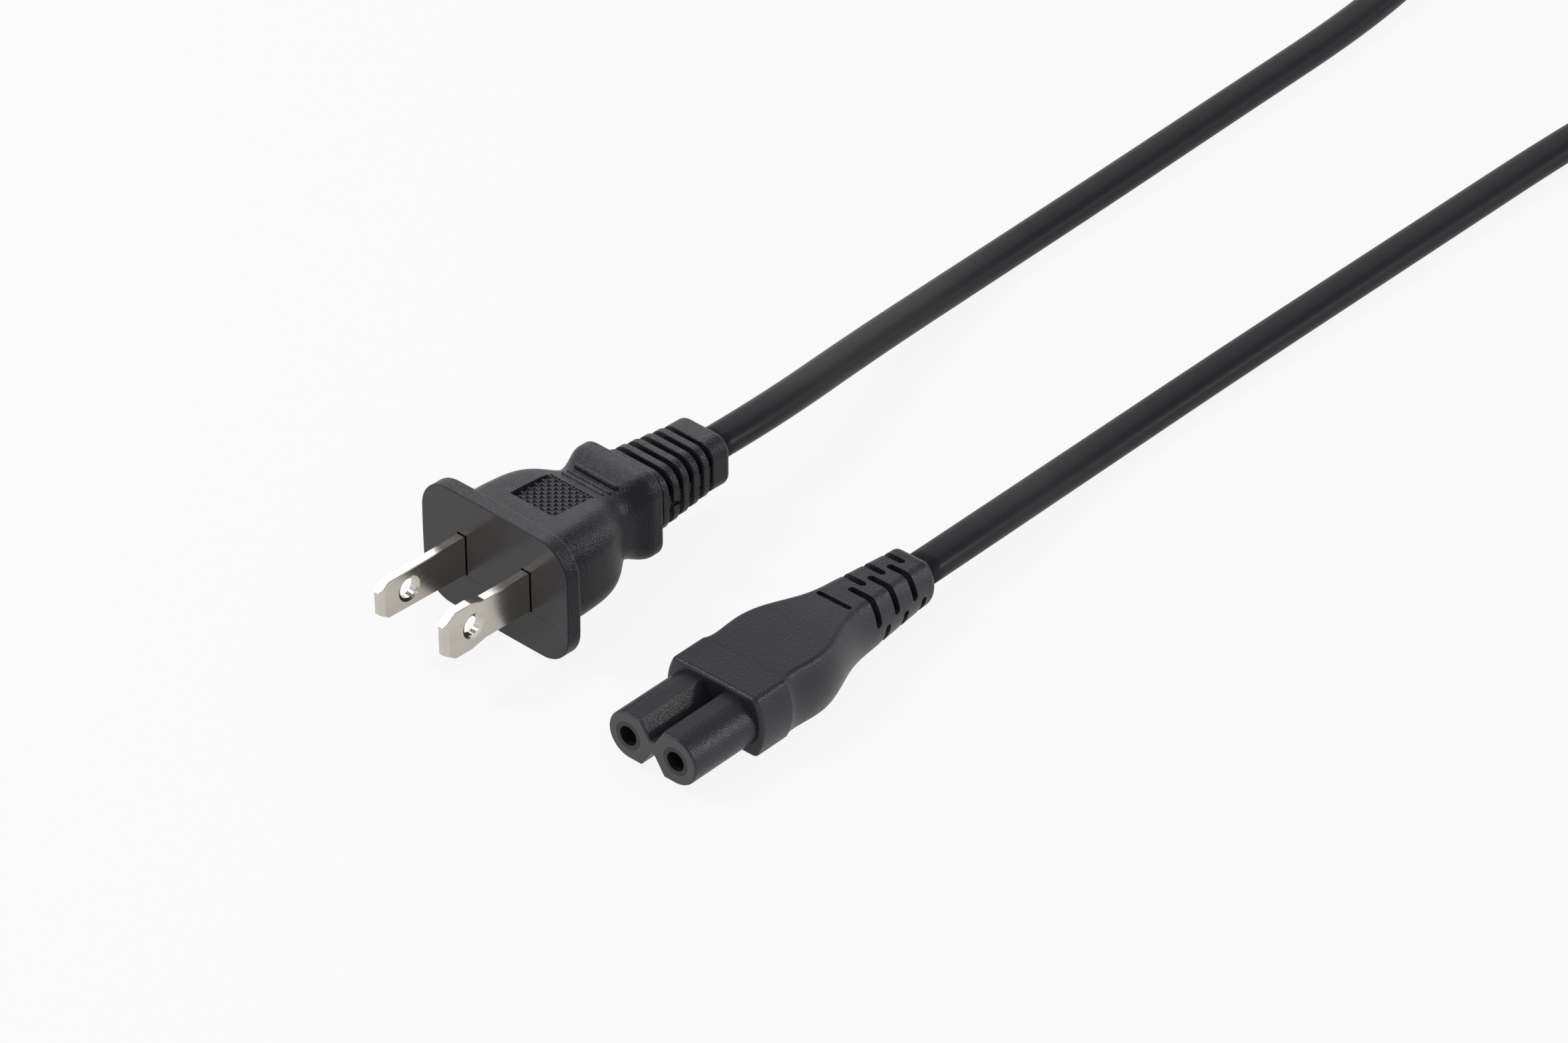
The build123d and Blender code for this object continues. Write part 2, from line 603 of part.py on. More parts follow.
with connector_body:
    for cuts in quarters:
        add(cuts.part, mode=Mode.SUBTRACT)
    for up in (-1, 1):
        floor_plane = Plane(origin=NOSE.origin, x_dir=forwards, z_dir=(0, 0, 1)).offset(up * NECK_SLOT_FLOOR)
        with BuildSketch(floor_plane):
            with Locations((NECK_SLOT_X, 0)):
                SlotOverall(NECK_SLOT_LENGTH, NECK_SLOT_WIDTH, rotation=90)
        extrude(amount=up * 4.0, mode=Mode.SUBTRACT)
    for piece in [contact_carrier, connector_jacket] + socket_contacts + connector_cores + connector_strands:
        add(piece.part, mode=Mode.SUBTRACT)
    # The way of each pin stays open
    with BuildSketch(NOSE):
        with GridLocations(PIN_SPACING, 1, 2, 1):
            Circle(SOCKET_RADIUS)
    extrude(amount=SOCKET_END_X, mode=Mode.SUBTRACT)
save(connector_body, "connector_body")

# Lead outside the mouldings: two stretches that lie on the floor and the coil between them

entry = radians(COIL_ENTRY_ANGLE)
leave = radians(COIL_EXIT_ANGLE)
entry_way = Vector(cos(entry), sin(entry), 0)
exit_way = Vector(cos(leave), -sin(leave), 0)
coil_entry = Vector(COIL_X, COIL_Y, LYING_Z) + COIL_OUTER_RADIUS * Vector(sin(entry), -cos(entry), 0)
coil_exit = Vector(COIL_X, COIL_Y, LYING_Z + CORD_THICKNESS) + COIL_OUTER_RADIUS * Vector(sin(leave), cos(leave), 0)
plug_stub = coil_entry + STUB_LENGTH * entry_way
connector_stub = coil_exit + STUB_LENGTH * exit_way

PLUG_ROUTE = [
    (RELIEF_END_X, 0, 0),
    (-54.5, 0, 0),
    (-82.0, -6.2, -4.0),
    (-112.0, -11.85, LYING_Z),
    (-143.0, -13.6, LYING_Z),
    (-178.0, -15.9, LYING_Z),
    (-213.0, -18.0, LYING_Z),
    tuple(plug_stub + 23.0 * entry_way),
    tuple(plug_stub),
]
CONNECTOR_ROUTE = [
    tuple(NOSE.offset(CONNECTOR_END_X).origin),
    tuple(NOSE.offset(CONNECTOR_END_X - 13.0).origin),
    (-86.0, 33.5, LYING_Z),
    (-122.0, 32.2, LYING_Z),
    (-166.0, 31.1, LYING_Z),
    (-212.0, 29.9, LYING_Z),
    tuple(connector_stub + 16.0 * exit_way),
    tuple(connector_stub),
]


def lead_tube(route, name):
    """A stretch of the flat lead along its route, lying flat all the way."""
    bend_radii = corner_radii(route)
    print(name, "bend radii", [round(r, 1) for r in bend_radii])
    start = Vector(*route[0])
    way = Vector(*route[1]) - start
    with BuildLine() as line:
        FilletPolyline(*route, radius=bend_radii)
    with BuildLine() as guide:
        FilletPolyline(*[(x, y, z + 10) for x, y, z in route], radius=bend_radii)
    across = way.cross(Vector(0, 0, 1)).normalized()
    with BuildSketch(Plane(origin=start, x_dir=across, z_dir=way)) as flat:
        SlotOverall(CORD_WIDTH, CORD_THICKNESS)
    with BuildPart() as tube:
        sweep(sections=flat.sketch, path=line.line, binormal=guide.wire())
    area = (CORD_WIDTH - CORD_THICKNESS) * CORD_THICKNESS + pi * CORD_THICKNESS**2 / 4
    length = line.wire().length
    print(name, "length", round(length, 1), "volume over section times length",
          round(tube.part.volume / (area * length), 4))
    return tube, length


lead_at_plug, plug_length = lead_tube(PLUG_ROUTE, "lead_at_plug")
lead_at_connector, connector_length = lead_tube(CONNECTOR_ROUTE, "lead_at_connector")
save(lead_at_plug, "lead_at_plug")
save(lead_at_connector, "lead_at_connector")

# Coil, tied by a flat strap
bundle_inner = COIL_INNER_RADIUS - CORD_WIDTH / 2
bundle_outer = COIL_OUTER_RADIUS + CORD_WIDTH / 2
tie_way = (cos(radians(TIE_ANGLE)), sin(radians(TIE_ANGLE)), 0)
coil_plane = Plane(origin=(COIL_X, COIL_Y, FLOOR_Z), x_dir=tie_way, z_dir=Vector(tie_way).cross(Vector(0, 0, 1)))
bundle_middle = (bundle_inner + bundle_outer) / 2
bundle_width = bundle_outer - bundle_inner
bundle_height = 2 * CORD_THICKNESS

with BuildPart() as lead_coil:
    with BuildSketch(coil_plane):
        with Locations((bundle_middle, bundle_height / 2)):
            RectangleRounded(bundle_width, bundle_height, COIL_ROUND)
    revolve(axis=Axis((COIL_X, COIL_Y, 0), (0, 0, 1)))
    for stub, way in ((plug_stub, entry_way), (connector_stub, exit_way)):
        with BuildSketch(Plane(origin=stub, x_dir=way.cross(Vector(0, 0, 1)), z_dir=way)):
            SlotOverall(CORD_WIDTH, CORD_THICKNESS)
        extrude(amount=-STUB_LENGTH)
    with BuildSketch(coil_plane):
        with Locations((bundle_middle, 0)):
            Rectangle(bundle_width + 1, 2 * TIE_THICKNESS)
    extrude(amount=TIE_WIDTH / 2, both=True, mode=Mode.SUBTRACT)
save(lead_coil, "lead_coil")

with BuildPart() as coil_tie:
    with BuildSketch(coil_plane) as loop:
        with Locations((bundle_middle, (bundle_height + TIE_THICKNESS) / 2)):
            RectangleRounded(bundle_width + 2 * TIE_THICKNESS, bundle_height + TIE_THICKNESS, 1.2)
        # The loose end of the strap lies on its top
        with Locations((bundle_middle + 2.0, bundle_height + 1.5 * TIE_THICKNESS)):
            RectangleRounded(bundle_width - 6.0, TIE_THICKNESS, 0.3)
    extrude(amount=TIE_WIDTH / 2, both=True)
    add(lead_coil.part, mode=Mode.SUBTRACT)
save(coil_tie, "coil_tie")

turns = (6 * 360 - 180 + COIL_ENTRY_ANGLE + COIL_EXIT_ANGLE) / 360
coil_length = turns * pi * (COIL_INNER_RADIUS + COIL_OUTER_RADIUS) + 2 * STUB_LENGTH
print("turns", round(turns, 2), "lead in all", round(plug_length + connector_length + coil_length, 0))
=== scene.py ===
"""Looks for a two-prong plug: its mouldings, prongs, flat lead and figure-eight connector.

All lengths are in metres, in the frame of the solids: the origin is the centre of the plug's
front face, +X runs out along the prongs, and the lead lies on a floor below the origin.
"""
from math import cos, pi, radians, sin

import bmesh
import bpy
from bpy.props import FloatProperty, FloatVectorProperty, PointerProperty
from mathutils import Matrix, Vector


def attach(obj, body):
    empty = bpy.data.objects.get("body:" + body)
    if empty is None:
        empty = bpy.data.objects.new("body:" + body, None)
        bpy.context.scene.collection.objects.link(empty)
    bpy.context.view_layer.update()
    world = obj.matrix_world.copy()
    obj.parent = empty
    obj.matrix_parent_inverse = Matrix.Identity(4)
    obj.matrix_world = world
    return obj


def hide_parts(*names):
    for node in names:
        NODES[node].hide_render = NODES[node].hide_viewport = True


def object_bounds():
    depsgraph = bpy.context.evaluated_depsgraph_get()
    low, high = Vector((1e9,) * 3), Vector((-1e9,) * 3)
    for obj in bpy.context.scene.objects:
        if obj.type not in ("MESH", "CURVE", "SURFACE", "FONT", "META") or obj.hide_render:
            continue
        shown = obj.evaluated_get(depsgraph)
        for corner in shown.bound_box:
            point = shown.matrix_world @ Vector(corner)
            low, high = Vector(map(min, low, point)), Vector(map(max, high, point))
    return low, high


bl_info = {
    "name": "Two-prong plug looks",
    "version": (1, 0, 0),
    "blender": (4, 5, 0),
    "location": "View3D > Sidebar > Plug",
    "description": "Dresses the solids of a moulded plug, its flat lead and its connector",
    "category": "Object",
}

MM = 0.001
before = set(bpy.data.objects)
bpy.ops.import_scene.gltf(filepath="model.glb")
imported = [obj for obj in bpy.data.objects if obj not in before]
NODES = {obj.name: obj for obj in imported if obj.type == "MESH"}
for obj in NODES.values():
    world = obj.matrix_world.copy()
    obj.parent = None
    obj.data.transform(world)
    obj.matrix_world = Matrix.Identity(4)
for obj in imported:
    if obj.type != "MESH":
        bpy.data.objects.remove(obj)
CAD_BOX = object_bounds()

# The lead's route, as the solids lay it: the height of its middle line on the floor, the coil,
# and where it leaves the plug and the connector
THICKNESS = 3.7 * MM
LYING_Z = -9.9 * MM + THICKNESS / 2
COIL_CENTRE = Vector((-292.0 * MM, 5.0 * MM, 0))
COIL_OUTER = 38.2 * MM
COIL_INNER = 21.8 * MM
COIL_HALF_TURNS = 11
POINTS_PER_TURN = 14
ENTRY_ANGLE = radians(12.0)
EXIT_ANGLE = radians(10.0)
STUB = 24.0 * MM
PLUG_EXIT = (-41.8 * MM, 0.0, 0.0)
NOSE = Vector((9.2 * MM, 39.5 * MM, -5.0 * MM))
CONNECTOR_YAW = radians(1.9)
FORWARDS = Vector((cos(CONNECTOR_YAW), sin(CONNECTOR_YAW), 0))
CONNECTOR_LENGTH = 54.0 * MM
CONNECTOR_EXIT = tuple(NOSE - CONNECTOR_LENGTH * FORWARDS)

# Height of the line that the mould's insert leaves across the plug's face and rim, and how far
# back from the face it reaches
SPLIT_LINE_Z = -3.3 * MM
RIM_DEPTH = 2.5 * MM

# Middle and half sizes of the knurled grip, which is the same below; the way across which the
# faces of its points turn to be painted lighter, the slopes along it from which and to which that
# painted light shows, and its colour
GRIP_MIDDLE = (-11.45 * MM, 0, 6.7 * MM)
GRIP_HALF = (3.9 * MM, 4.25 * MM, 0.35 * MM)
# Painted light: the knurl's faces that turn across this way are coloured paler, as if lit
LIT_FACE_WAY = (0.707, 0.707, 0)
LIT_FACE_SLOPES = (0.45, 0.25)
PAINTED_LIGHT_COLOUR = (0.075, 0.076, 0.080)

# What the black vinyl mirrors: the room's brightness overhead, the heights (as sines of the
# angle) from which it is that dark and up to which it is bright, and the share of the floor
ROOM_OVERHEAD = 0.28
ROOM_DARK_FROM = 0.95
ROOM_BRIGHT_TO = 0.1
FLOOR_MIRRORED = 0.55

# The even light that the room sheds, and the floor's half width, glow and gap below the solids
ROOM_LIGHT = 0.55
FLOOR_HALF = 4.0
FLOOR_GLOW = 0.91
FLOOR_GAP = 0.02 * MM

# Span of the texture round the lead's section
GIRTH_SPAN = 0.015


# Sizes and colours that a user would change


class MouldingLook(bpy.types.PropertyGroup):
    """Finish of the black vinyl mouldings."""

    colour: FloatVectorProperty(
        name="Colour", description="Colour of the vinyl", subtype="COLOR", size=3,
        min=0, max=1, default=(0.0165, 0.0168, 0.0205),
    )
    roughness: FloatProperty(
        name="Roughness", description="Roughness of the grained skin", subtype="FACTOR",
        min=0, max=1, default=0.27,
    )
    face_roughness: FloatProperty(
        name="Face roughness", description="Roughness of the smooth faces", subtype="FACTOR",
        min=0, max=1, default=0.22,
    )
    face_gloss: FloatProperty(
        name="Face gloss", description="Extra mirror share of the smooth faces",
        min=0, max=1, default=0.4,
    )
    grain_size: FloatProperty(
        name="Grain size", description="Width of one grain of the spark-eroded skin",
        unit="LENGTH", min=0.00005, default=0.00024, precision=5,
    )


class MetalLook(bpy.types.PropertyGroup):
    """Finish of the nickel-plated prongs."""

    colour: FloatVectorProperty(
        name="Colour", description="Colour of the nickel plate", subtype="COLOR", size=3,
        min=0, max=1, default=(0.64, 0.60, 0.545),
    )
    roughness: FloatProperty(
        name="Roughness", description="Roughness of the plated flats", subtype="FACTOR",
        min=0, max=1, default=0.18,
    )


class LeadSizes(bpy.types.PropertyGroup):
    """Section and finish of the flat lead."""

    width: FloatProperty(
        name="Width", description="Width of the flat lead", unit="LENGTH",
        default=0.0060, precision=4,
    )
    thickness: FloatProperty(
        name="Thickness", description="Thickness of the flat lead", unit="LENGTH",
        default=THICKNESS, precision=4,
    )
    length: FloatProperty(
        name="Length", description="Length of the lead between the two mouldings", unit="LENGTH",
        default=1.515, precision=3,
    )
    colour: FloatVectorProperty(
        name="Colour", description="Colour of the jacket", subtype="COLOR", size=3,
        min=0, max=1, default=(0.012, 0.013, 0.015),
    )
    roughness: FloatProperty(
        name="Roughness", description="Roughness of the jacket", subtype="FACTOR",
        min=0, max=1, default=0.36,
    )


class StageLook(bpy.types.PropertyGroup):
    """Camera and floor."""

    azimuth: FloatProperty(
        name="Azimuth", description="Turn of the camera from +X towards +Y", subtype="ANGLE",
        default=radians(43.5),
    )
    elevation: FloatProperty(
        name="Elevation", description="Height angle of the camera", subtype="ANGLE",
        default=radians(34.8),
    )
    distance: FloatProperty(
        name="Distance", description="Distance from the camera to its target", unit="LENGTH",
        default=0.8,
    )
    target: FloatVectorProperty(
        name="Target", description="Point that the camera looks at", subtype="TRANSLATION",
        size=3, default=(-0.03639, 0.02062, 0.0), precision=5,
    )
    lens: FloatProperty(
        name="Lens", description="Focal length for a 36 mm wide sensor",
        min=1, default=131.35,
    )
    floor_colour: FloatVectorProperty(
        name="Floor colour", description="Colour of the floor", subtype="COLOR",
        size=3, min=0, max=1, default=(0.98, 0.98, 0.98),
    )


# Materials


class Nodes:
    """Short calls for adding and joining the nodes of a tree."""

    def __init__(self, tree):
        self.tree = tree

    def add(self, kind, **settings):
        """A node of this kind. Settings are its properties, or its sockets by name."""
        node = self.tree.nodes.new(kind)
        for key, value in settings.items():
            if hasattr(node, key):
                setattr(node, key, value)
            else:
                node.inputs[key.replace("_", " ")].default_value = value
        return node

    def join(self, source, target):
        self.tree.links.new(source, target)

    def math(self, operation, first, second=0.0):
        """The result for two values, each a number or an output."""
        node = self.add("ShaderNodeMath", operation=operation)
        for socket, value in zip(node.inputs, (first, second)):
            if isinstance(value, (int, float)):
                socket.default_value = value
            else:
                self.join(value, socket)
        return node.outputs["Value"]

    def parts(self, vector):
        """The X, Y and Z of a vector."""
        node = self.add("ShaderNodeSeparateXYZ")
        self.join(vector, node.inputs["Vector"])
        return node.outputs

    def along(self, vector, way):
        """How far a place lies along a direction."""
        node = self.add("ShaderNodeVectorMath", operation="DOT_PRODUCT")
        self.join(vector, node.inputs[0])
        node.inputs[1].default_value = way
        return node.outputs["Value"]

    def band(self, source, low, high, out_low=0.0, out_high=1.0):
        """A smooth step from low to high."""
        node = self.add("ShaderNodeMapRange", interpolation_type="SMOOTHSTEP")
        ends = {"From Min": low, "From Max": high, "To Min": out_low, "To Max": out_high}
        for end, value in ends.items():
            node.inputs[end].default_value = value
        self.join(source, node.inputs["Value"])
        return node.outputs["Result"]

    def ramp(self, source, low, high):
        """Maps 0..1 to low..high."""
        node = self.add("ShaderNodeMapRange", To_Min=low, To_Max=high)
        self.join(source, node.inputs["Value"])
        return node.outputs["Result"]

    def mix(self, factor, first, second):
        """A colour between two, each an output or three numbers."""
        node = self.add("ShaderNodeMix", data_type="RGBA")
        sides = [socket for socket in node.inputs if socket.type == "RGBA"]
        for socket, colour in zip(sides, (first, second)):
            if isinstance(colour, bpy.types.NodeSocket):
                self.join(colour, socket)
            else:
                socket.default_value = (*colour, 1)
        self.join(factor, node.inputs["Factor"])
        return next(socket for socket in node.outputs if socket.type == "RGBA")


class Graph(Nodes):
    """A new material, with short calls for what its surface shows."""

    def __init__(self, name, **finish):
        self.material = bpy.data.materials.new(name)
        self.material.use_nodes = True
        super().__init__(self.material.node_tree)
        self.shader = self.tree.nodes["Principled BSDF"].inputs
        for key, value in finish.items():
            self.shader[key.replace("_", " ")].default_value = value
        self.coordinates = self.add("ShaderNodeTexCoord").outputs
        self.place = self.coordinates["Object"]

    def stretched(self, scale, source="Object"):
        """Coordinates scaled by three numbers."""
        mapping = self.add("ShaderNodeMapping", Scale=scale)
        self.join(self.coordinates[source], mapping.inputs["Vector"])
        return mapping.outputs["Vector"]

    def noise(self, vector, scale, detail=2.0, roughness=0.5):
        node = self.add("ShaderNodeTexNoise", Scale=scale, Detail=detail, Roughness=roughness)
        self.join(vector, node.inputs["Vector"])
        return node.outputs["Fac"]

    def tint(self, factor, colour, low, high):
        """Colours the surface between two shades of a colour."""
        dark, light = ([min(1.0, share * c) for c in colour] for share in (low, high))
        self.join(self.mix(factor, dark, light), self.shader["Base Color"])

    def roughen(self, source, low, high):
        """Varies the surface's roughness between two values."""
        self.join(self.ramp(source, low, high), self.shader["Roughness"])

    def bump(self, height, distance, strength=1.0):
        node = self.add("ShaderNodeBump", Strength=strength, Distance=distance)
        self.join(height, node.inputs["Height"])
        self.join(node.outputs["Normal"], self.shader["Normal"])

    def paint_grip_light(self, middle, half):
        """Paints light on the knurl: the faces of its points that turn across one way are coloured
        paler, in a box and its mirror below.
        """
        geometry = self.add("ShaderNodeNewGeometry")
        slope = self.math("ABSOLUTE", self.along(geometry.outputs["True Normal"], LIT_FACE_WAY))
        lit_faces = self.band(slope, *LIT_FACE_SLOPES)
        for part, centre, reach in zip(self.parts(self.place), middle, half):
            shifted = self.math("SUBTRACT", self.math("ABSOLUTE", part), abs(centre))
            near = self.math("LESS_THAN", self.math("ABSOLUTE", shifted), reach)
            lit_faces = self.math("MULTIPLY", near, lit_faces)
        # Painted light: those faces of the knurl take the paler colour
        colour = self.shader["Base Color"]
        self.join(self.mix(lit_faces, colour.links[0].from_socket, PAINTED_LIGHT_COLOUR), colour)


def grained_vinyl(name, look, tone, gloss, grain_depth, face, way, split_z=None, grip=None):
    """Black vinyl with a fine spark-eroded grain, smooth on the flat face that ends it.

    A split line, where one is given, crosses that face at its height. A grip, where its middle
    and half sizes are given, has painted light: its knurl's faces that turn one way are paler.
    """
    graph = Graph(name, IOR=1.46)
    fine = graph.noise(graph.place, 1 / look.grain_size, roughness=0.6)
    coarse = graph.noise(graph.place, 0.6 / look.grain_size, detail=1.0)
    grain = graph.math("ADD", fine, graph.math("MULTIPLY", coarse, 0.2))
    cloud = graph.noise(graph.place, 140.0, detail=3.0)
    flow = graph.noise(graph.stretched((0.35, 1, 1)), 420.0)
    graph.tint(cloud, look.colour, 0.82 * tone, 1.25 * tone)
    if grip is not None:
        # Painted light on the knurl's faces, by the way that they turn
        graph.paint_grip_light(*grip)
    reach = graph.along(graph.place, way)
    end = face.dot(way)
    smooth = graph.band(reach, end - 0.1 * MM, end - 0.02 * MM)
    rough = graph.ramp(flow, look.roughness - 0.05, look.roughness + 0.05)
    polish = graph.math("MULTIPLY", smooth, look.roughness - look.face_roughness)
    graph.join(graph.math("SUBTRACT", rough, polish), graph.shader["Roughness"])
    shine = graph.ramp(smooth, gloss, gloss + look.face_gloss)
    graph.join(shine, graph.shader["Specular IOR Level"])
    height = graph.math("MULTIPLY", grain, graph.ramp(smooth, grain_depth, 0.1))
    if split_z is not None:
        rim = graph.band(reach, end - RIM_DEPTH - 0.1 * MM, end - RIM_DEPTH)
        away = graph.math("SUBTRACT", graph.parts(graph.place)["Z"], split_z)
        near = graph.band(graph.math("ABSOLUTE", away), 0.09 * MM, 0.03 * MM)
        height = graph.math("SUBTRACT", height, graph.math("MULTIPLY", rim, near))
    graph.bump(height, 0.12 * MM)
    return graph.material


def nickel_plate(name, look):
    """Plated strip with the faint lines of rolling along its length and small dull spots."""
    graph = Graph(name, Metallic=1.0)
    lines = graph.noise(graph.stretched((0.06, 1, 1)), 5200.0, detail=3.0)
    spots = graph.noise(graph.place, 2600.0, detail=4.0, roughness=0.7)
    tone = graph.noise(graph.stretched((0.3, 1, 1)), 260.0)
    graph.tint(tone, look.colour, 0.90, 1.08)
    spread = graph.math("MULTIPLY", graph.math("ADD", lines, spots), 0.5)
    graph.roughen(spread, look.roughness - 0.10, look.roughness + 0.12)
    graph.bump(spread, 0.016 * MM, 0.6)
    return graph.material


def jacket_vinyl(name, look):
    """The lead's extruded jacket: satin, with long faint draw lines along it."""
    graph = Graph(name, IOR=1.47, Specular_IOR_Level=0.24)
    lines = graph.noise(graph.stretched((3.0, 90.0, 1.0), "UV"), 3.0, detail=3.0)
    mottle = graph.noise(graph.place, 700.0, detail=3.0)
    graph.tint(mottle, look.colour, 0.85, 1.2)
    blend = graph.math("MULTIPLY", graph.math("ADD", lines, mottle), 0.5)
    graph.roughen(blend, look.roughness - 0.08, look.roughness + 0.08)
    graph.bump(blend, 0.03 * MM, 0.35)
    return graph.material


def plain_plastic(name, colour, roughness):
    """Moulded plastic of an inner piece, with a slight mottle."""
    graph = Graph(name)
    mottle = graph.noise(graph.place, 500.0, detail=3.0)
    graph.tint(mottle, colour, 0.9, 1.08)
    graph.roughen(mottle, roughness - 0.05, roughness + 0.05)
    graph.bump(mottle, 0.02 * MM, 0.3)
    return graph.material


def bare_metal(name, colour, roughness, stretch):
    """Unplated metal of an inner piece, with lines along its length."""
    graph = Graph(name, Metallic=1.0)
    lines = graph.noise(graph.stretched(stretch), 3500.0, detail=3.0)
    graph.tint(lines, colour, 0.8, 1.1)
    graph.roughen(lines, roughness - 0.08, roughness + 0.1)
    graph.bump(lines, 0.02 * MM, 0.4)
    return graph.material


def woven_strap(name):
    """Soft looped strap of the tie."""
    graph = Graph(name, Sheen_Weight=0.3)
    loops = graph.noise(graph.place, 2600.0, detail=4.0, roughness=0.7)
    colour = graph.mix(loops, (0.008, 0.008, 0.009), (0.035, 0.035, 0.037))
    graph.join(colour, graph.shader["Base Color"])
    graph.roughen(loops, 0.75, 0.95)
    graph.bump(loops, 0.15 * MM, 0.9)
    return graph.material


def dress(node_names, material):
    """Gives solids their finish."""
    for name in node_names:
        slots = NODES[name].data.materials
        slots.clear()
        slots.append(material)


# The lead


def lead_points():
    """The points of the lead's route, from the plug to the connector."""
    entry_way = Vector((cos(ENTRY_ANGLE), sin(ENTRY_ANGLE), 0))
    exit_way = Vector((cos(EXIT_ANGLE), -sin(EXIT_ANGLE), 0))
    low = Vector((0, 0, LYING_Z))
    coil_in = COIL_CENTRE + low + COIL_OUTER * Vector((sin(ENTRY_ANGLE), -cos(ENTRY_ANGLE), 0))
    top = Vector((0, 0, LYING_Z + THICKNESS))
    coil_out = COIL_CENTRE + top + COIL_OUTER * Vector((sin(EXIT_ANGLE), cos(EXIT_ANGLE), 0))
    points = [
        Vector(PLUG_EXIT),
        Vector((-54.5 * MM, 0, 0)),
        Vector((-82.0 * MM, -6.2 * MM, -4.0 * MM)),
        Vector((-112.0 * MM, -11.85 * MM, LYING_Z)),
        Vector((-143.0 * MM, -13.6 * MM, LYING_Z)),
        Vector((-178.0 * MM, -15.9 * MM, LYING_Z)),
        Vector((-213.0 * MM, -18.0 * MM, LYING_Z)),
        coil_in + (STUB + 23.0 * MM) * entry_way,
        coil_in + STUB * entry_way,
    ]
    points += coil_points()
    points += [
        coil_out + STUB * exit_way,
        coil_out + (STUB + 16.0 * MM) * exit_way,
        Vector((-212.0 * MM, 29.9 * MM, LYING_Z)),
        Vector((-166.0 * MM, 31.1 * MM, LYING_Z)),
        Vector((-122.0 * MM, 32.2 * MM, LYING_Z)),
        Vector((-86.0 * MM, 33.5 * MM, LYING_Z)),
        NOSE - 67.0 * MM * FORWARDS,
        Vector(CONNECTOR_EXIT),
    ]
    return points


def coil_points():
    """Turns wound inwards on the floor, a climb at the inside, and turns outwards on top."""
    start = -pi / 2 + ENTRY_ANGLE
    sweep = COIL_HALF_TURNS * pi + ENTRY_ANGLE + EXIT_ANGLE
    count = round(sweep / (2 * pi) * POINTS_PER_TURN)
    climb = pi / 2
    points = []
    for k in range(count + 1):
        turned = sweep * k / count
        share = min(turned, sweep - turned) / (sweep / 2)
        radius = COIL_OUTER + (COIL_INNER - COIL_OUTER) * share
        rise = min(1.0, max(0.0, 0.5 + (turned - sweep / 2) / (2 * climb)))
        angle = start - turned
        height = LYING_Z + THICKNESS * rise
        points.append(COIL_CENTRE + Vector((radius * cos(angle), radius * sin(angle), height)))
    return points


def route_line(points, resolution):
    """The smooth line that a route's points control, as a row of places."""
    data = bpy.data.curves.new("route", "CURVE")
    data.dimensions = "3D"
    data.resolution_u = resolution
    spline = data.splines.new("NURBS")
    spline.points.add(len(points) - 1)
    for point, place in zip(spline.points, points):
        point.co = (*place, 1)
    spline.order_u = 3
    spline.use_endpoint_u = True
    carrier = bpy.data.objects.new("route", data)
    bpy.context.scene.collection.objects.link(carrier)
    bpy.context.view_layer.update()
    mesh = bpy.data.meshes.new_from_object(carrier)
    line = [v.co.copy() for v in mesh.vertices]
    bpy.data.objects.remove(carrier)
    bpy.data.curves.remove(data)
    bpy.data.meshes.remove(mesh)
    return line


def flat_section(width, thickness, arc_steps):
    """The places round the lead's section: two half circles joined by flats."""
    radius = thickness / 2
    reach = width / 2 - radius
    ring = []
    for side, first in ((1, -pi / 2), (-1, pi / 2)):
        for k in range(arc_steps + 1):
            angle = first + pi * k / arc_steps
            ring.append((side * reach + radius * cos(angle), radius * sin(angle)))
    return ring


def flat_tube(name, line, ring):
    """A tube of this section along a line, lying level, with its length and girth as UV."""
    mesh = bmesh.new()
    uv = mesh.loops.layers.uv.new("UVMap")
    rows = []
    run = [0.0]
    for before, here in zip(line, line[1:]):
        run.append(run[-1] + (here - before).length)
    for k, place in enumerate(line):
        way = (line[min(k + 1, len(line) - 1)] - line[max(k - 1, 0)]).normalized()
        across = way.cross(Vector((0, 0, 1))).normalized()
        up = across.cross(way).normalized()
        rows.append([mesh.verts.new(place + a * across + b * up) for a, b in ring])
    count = len(ring)
    for k in range(len(rows) - 1):
        for j in range(count):
            n = (j + 1) % count
            face = mesh.faces.new((rows[k][j], rows[k][n], rows[k + 1][n], rows[k + 1][j]))
            face.smooth = True
            spans = ((k, j), (k, j + 1), (k + 1, j + 1), (k + 1, j))
            for loop, (a, b) in zip(face.loops, spans):
                loop[uv].uv = (run[a], b / count * GIRTH_SPAN)
    mesh.faces.new(rows[0])
    mesh.faces.new(list(reversed(rows[-1])))
    bmesh.ops.recalc_face_normals(mesh, faces=mesh.faces)
    data = bpy.data.meshes.new(name)
    mesh.to_mesh(data)
    mesh.free()
    tube = bpy.data.objects.new(name, data)
    bpy.context.scene.collection.objects.link(tube)
    return tube


# Operators


class PLUG_OT_dress_mouldings(bpy.types.Operator):
    """Gives the plug's and the connector's mouldings their black grained vinyl"""

    bl_idname = "plug.dress_mouldings"
    bl_label = "Dress mouldings"

    def execute(self, context):
        look = context.scene.plug_moulding
        ahead = Vector((1, 0, 0))
        grip = (GRIP_MIDDLE, GRIP_HALF)
        plug = grained_vinyl(
            "plug_vinyl", look, tone=0.85, gloss=0.20, grain_depth=1.0,
            face=Vector(), way=ahead, split_z=SPLIT_LINE_Z, grip=grip,
        )
        dress(("plug_body",), plug)
        connector = grained_vinyl(
            "connector_vinyl", look, tone=1.3, gloss=0.45, grain_depth=0.6,
            face=NOSE, way=FORWARDS,
        )
        dress(("connector_body",), connector)
        return {"FINISHED"}


class PLUG_OT_plate_prongs(bpy.types.Operator):
    """Gives both prongs their nickel plate"""

    bl_idname = "plug.plate_prongs"
    bl_label = "Plate prongs"

    def execute(self, context):
        nickel = nickel_plate("prong_nickel", context.scene.plug_metal)
        dress(("narrow_prong", "wide_prong"), nickel)
        return {"FINISHED"}


